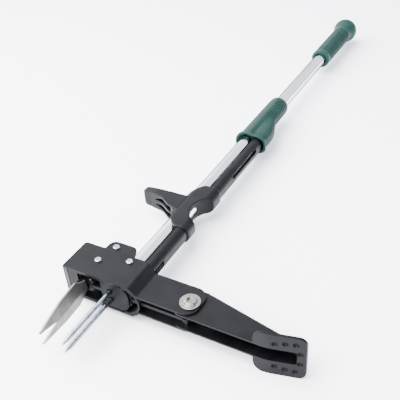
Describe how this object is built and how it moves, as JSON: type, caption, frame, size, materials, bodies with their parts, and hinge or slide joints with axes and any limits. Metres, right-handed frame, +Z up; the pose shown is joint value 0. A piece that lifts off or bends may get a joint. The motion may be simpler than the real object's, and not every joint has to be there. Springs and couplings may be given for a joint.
{
  "type": "stand up weeder",
  "caption": "Long-handled weed puller with a foot pedal that closes a two-prong claw on fixed pins, and a sliding grip that pushes an ejector plate along them.",
  "frame": {"origin": "centre of the bounding box in X and Y, at its lowest point in Z; the tool lies on its side", "axes": "+Y runs up the shaft from the claws to the knob, +X from the shaft towards the pedal, +Z up, along the pivots' axes"},
  "size_m": [0.3056, 0.9534, 0.06],
  "materials": {
    "polished_aluminium": "bright drawn",
    "green_grip": "satin moulded",
    "black_powder_coat": "fine-textured matte powder coat",
    "black_nylon": "satin moulded",
    "grey_coated_steel": "dark satin",
    "stainless_sheet": "satin stamped",
    "zinc_plate": "bright zinc",
    "spring_steel": "oiled wire",
    "machined_steel": "turned"
  },
  "bodies": {
    "shaft": {"main_tube": "polished_aluminium", "top_grip": "green_grip", "tube_end_plug": "black_nylon", "head_plate_upper": "black_powder_coat", "head_plate_lower": "black_powder_coat", "head_end_band": "black_powder_coat", "claw_liner": "stainless_sheet", "tube_saddle_upper": "black_nylon", "tube_saddle_lower": "black_nylon", "head_screws": "zinc_plate", "head_nuts": "zinc_plate", "claw_pivot_sleeve": "machined_steel", "tab_spacer": "machined_steel", "pin_block": "machined_steel", "pin_upper": "zinc_plate", "pin_lower": "zinc_plate", "pivot_bolt": "stainless_sheet", "pivot_washer": "stainless_sheet", "pivot_nut": "zinc_plate", "pivot_sleeve": "machined_steel", "guide_screw": "zinc_plate"},
    "slider": {"mid_grip": "green_grip", "upper_rail": "black_nylon", "return_spring": "spring_steel", "carriage": "black_nylon", "lower_rail": "black_nylon", "ejector_plate": "grey_coated_steel"},
    "pedal": {"pedal_channel": "black_powder_coat", "pedal_bushes": "black_nylon", "pedal_link_pin": "zinc_plate"},
    "claw": {"claw_fork": "stainless_sheet", "claw_carrier": "black_powder_coat", "claw_link_pin": "zinc_plate"},
    "link": {"link_bar": "black_powder_coat"}
  },
  "joints": [
    {"name": "ejector_slide", "type": "slide", "parent": "shaft", "child": "slider", "axis": [0, -1, 0], "range_m": [0, 0.06], "stiffness_N_per_m": 200, "springref_m": -0.02},
    {"name": "pedal_pivot", "type": "hinge", "parent": "shaft", "child": "pedal", "pos_m": [0.01425, -0.37275, 0.03], "axis": [0, 0, 1], "range_deg": [0, 18]},
    {"name": "claw_pivot", "type": "hinge", "parent": "shaft", "child": "claw", "pos_m": [-0.11375, -0.36575, 0.03], "axis": [0, 0, 1], "range_deg": [0, 11.1]},
    {"name": "link_pivot", "type": "hinge", "parent": "pedal", "child": "link", "pos_m": [0.01425, -0.38415, 0.03], "axis": [0, 0, 1], "range_deg": [-18.1, 0]}
  ],
  "couplings": [
    {"joint": "claw_pivot", "follows": "pedal_pivot", "ratio": 0.6155},
    {"joint": "link_pivot", "follows": "pedal_pivot", "ratio": -1}
  ]
}
